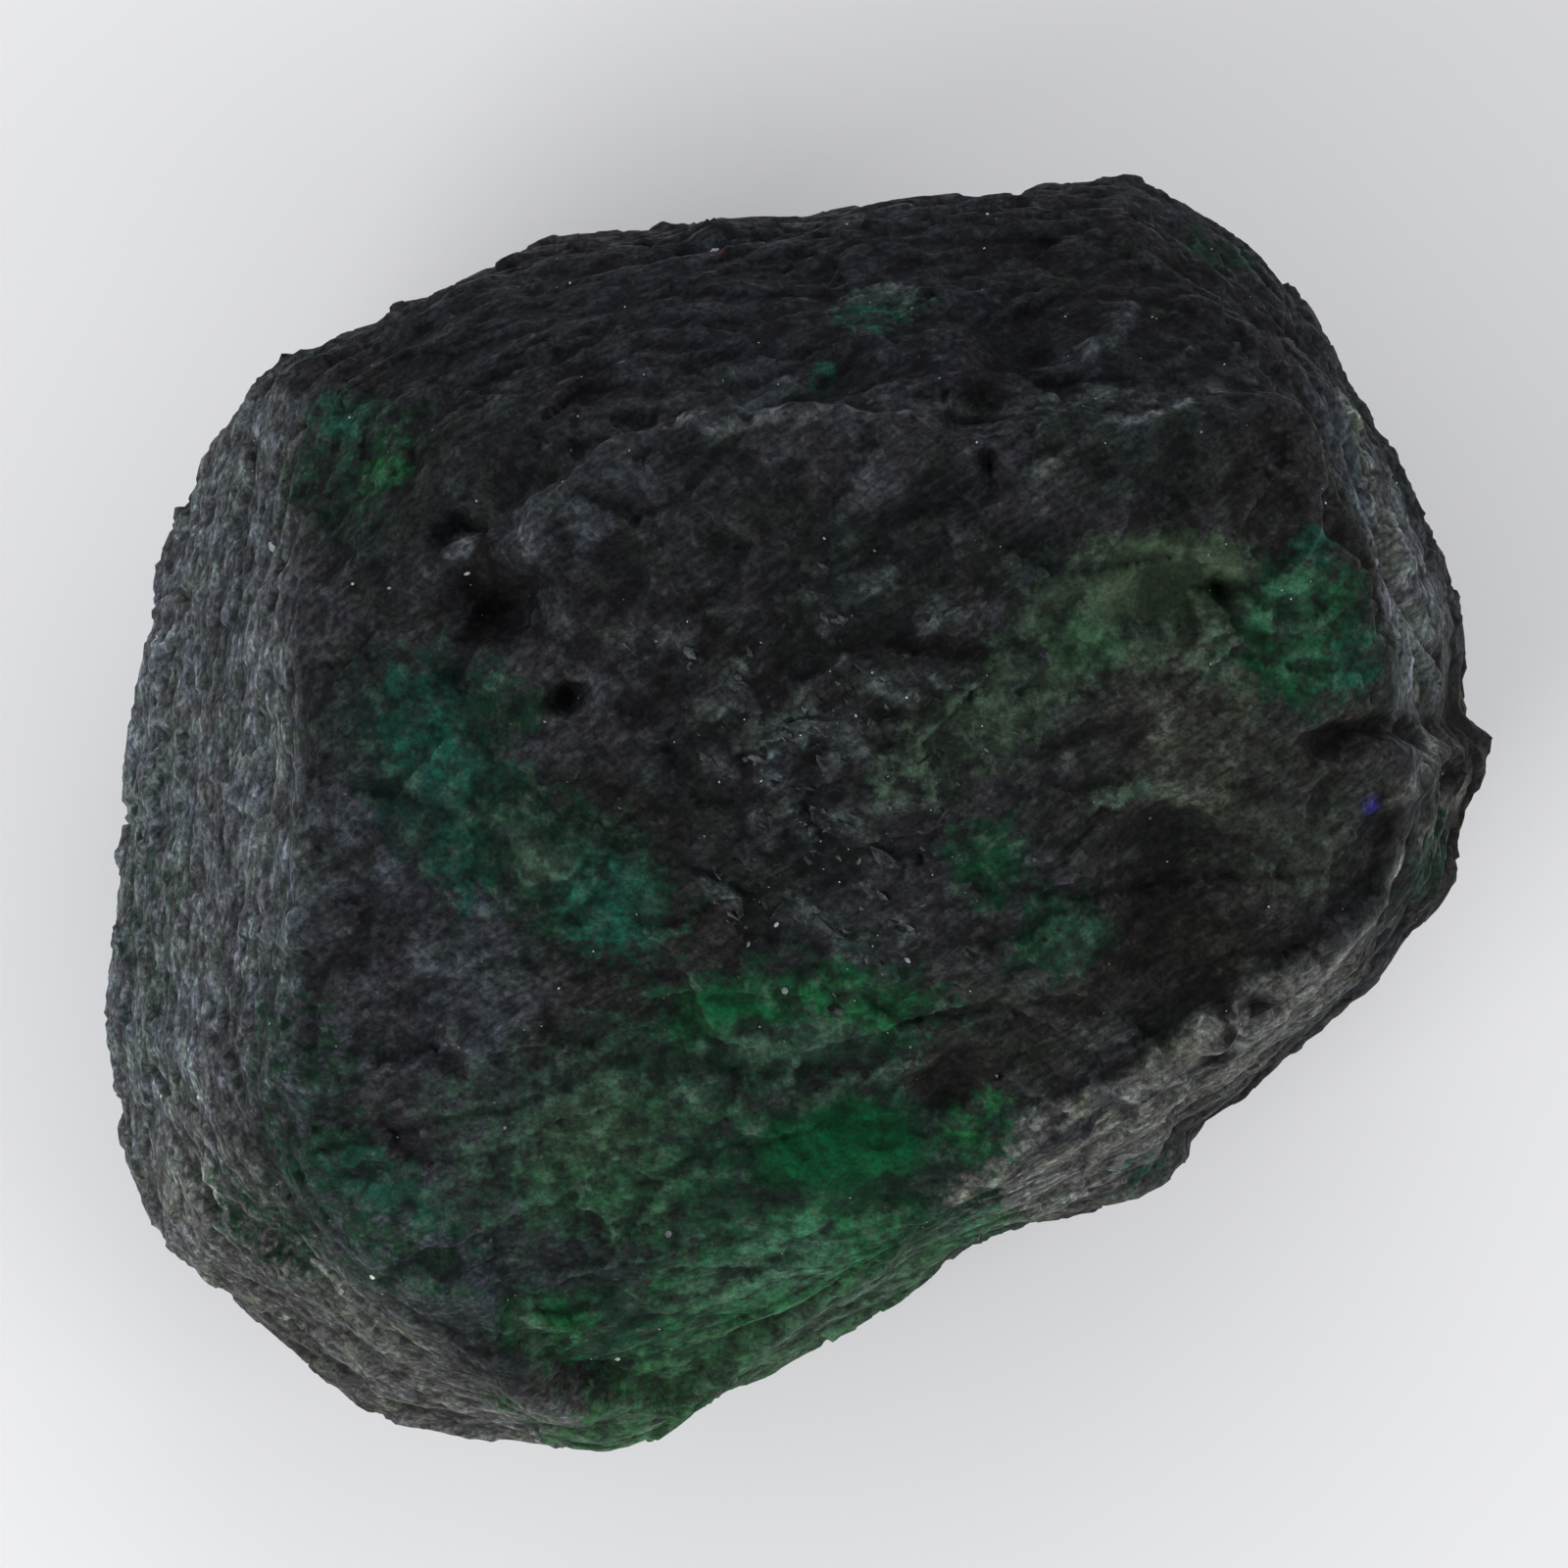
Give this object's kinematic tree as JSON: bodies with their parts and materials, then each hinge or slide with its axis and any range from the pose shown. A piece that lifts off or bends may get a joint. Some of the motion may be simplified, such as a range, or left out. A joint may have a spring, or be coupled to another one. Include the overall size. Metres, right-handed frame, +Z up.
{
  "type": "rough emerald",
  "caption": "Rough emerald: a blocky lump of dark mica schist with broken flat sides, ledges and pits, and green crystal patches on its crown, resting on a flat broken face.",
  "frame": {"origin": "Centre of the bounding box in plan, on the plane that the stone rests on.", "axes": "+X is the stone's longest way, +Y is its width towards the high ledge side, +Z is up from the resting face."},
  "size_m": [0.056, 0.0508, 0.0325],
  "materials": {
    "emerald_schist": "rough broken dark mica schist with green emerald patches and small mica glints"
  },
  "bodies": {
    "root": {"emerald_stone": "emerald_schist"}
  },
  "joints": []
}
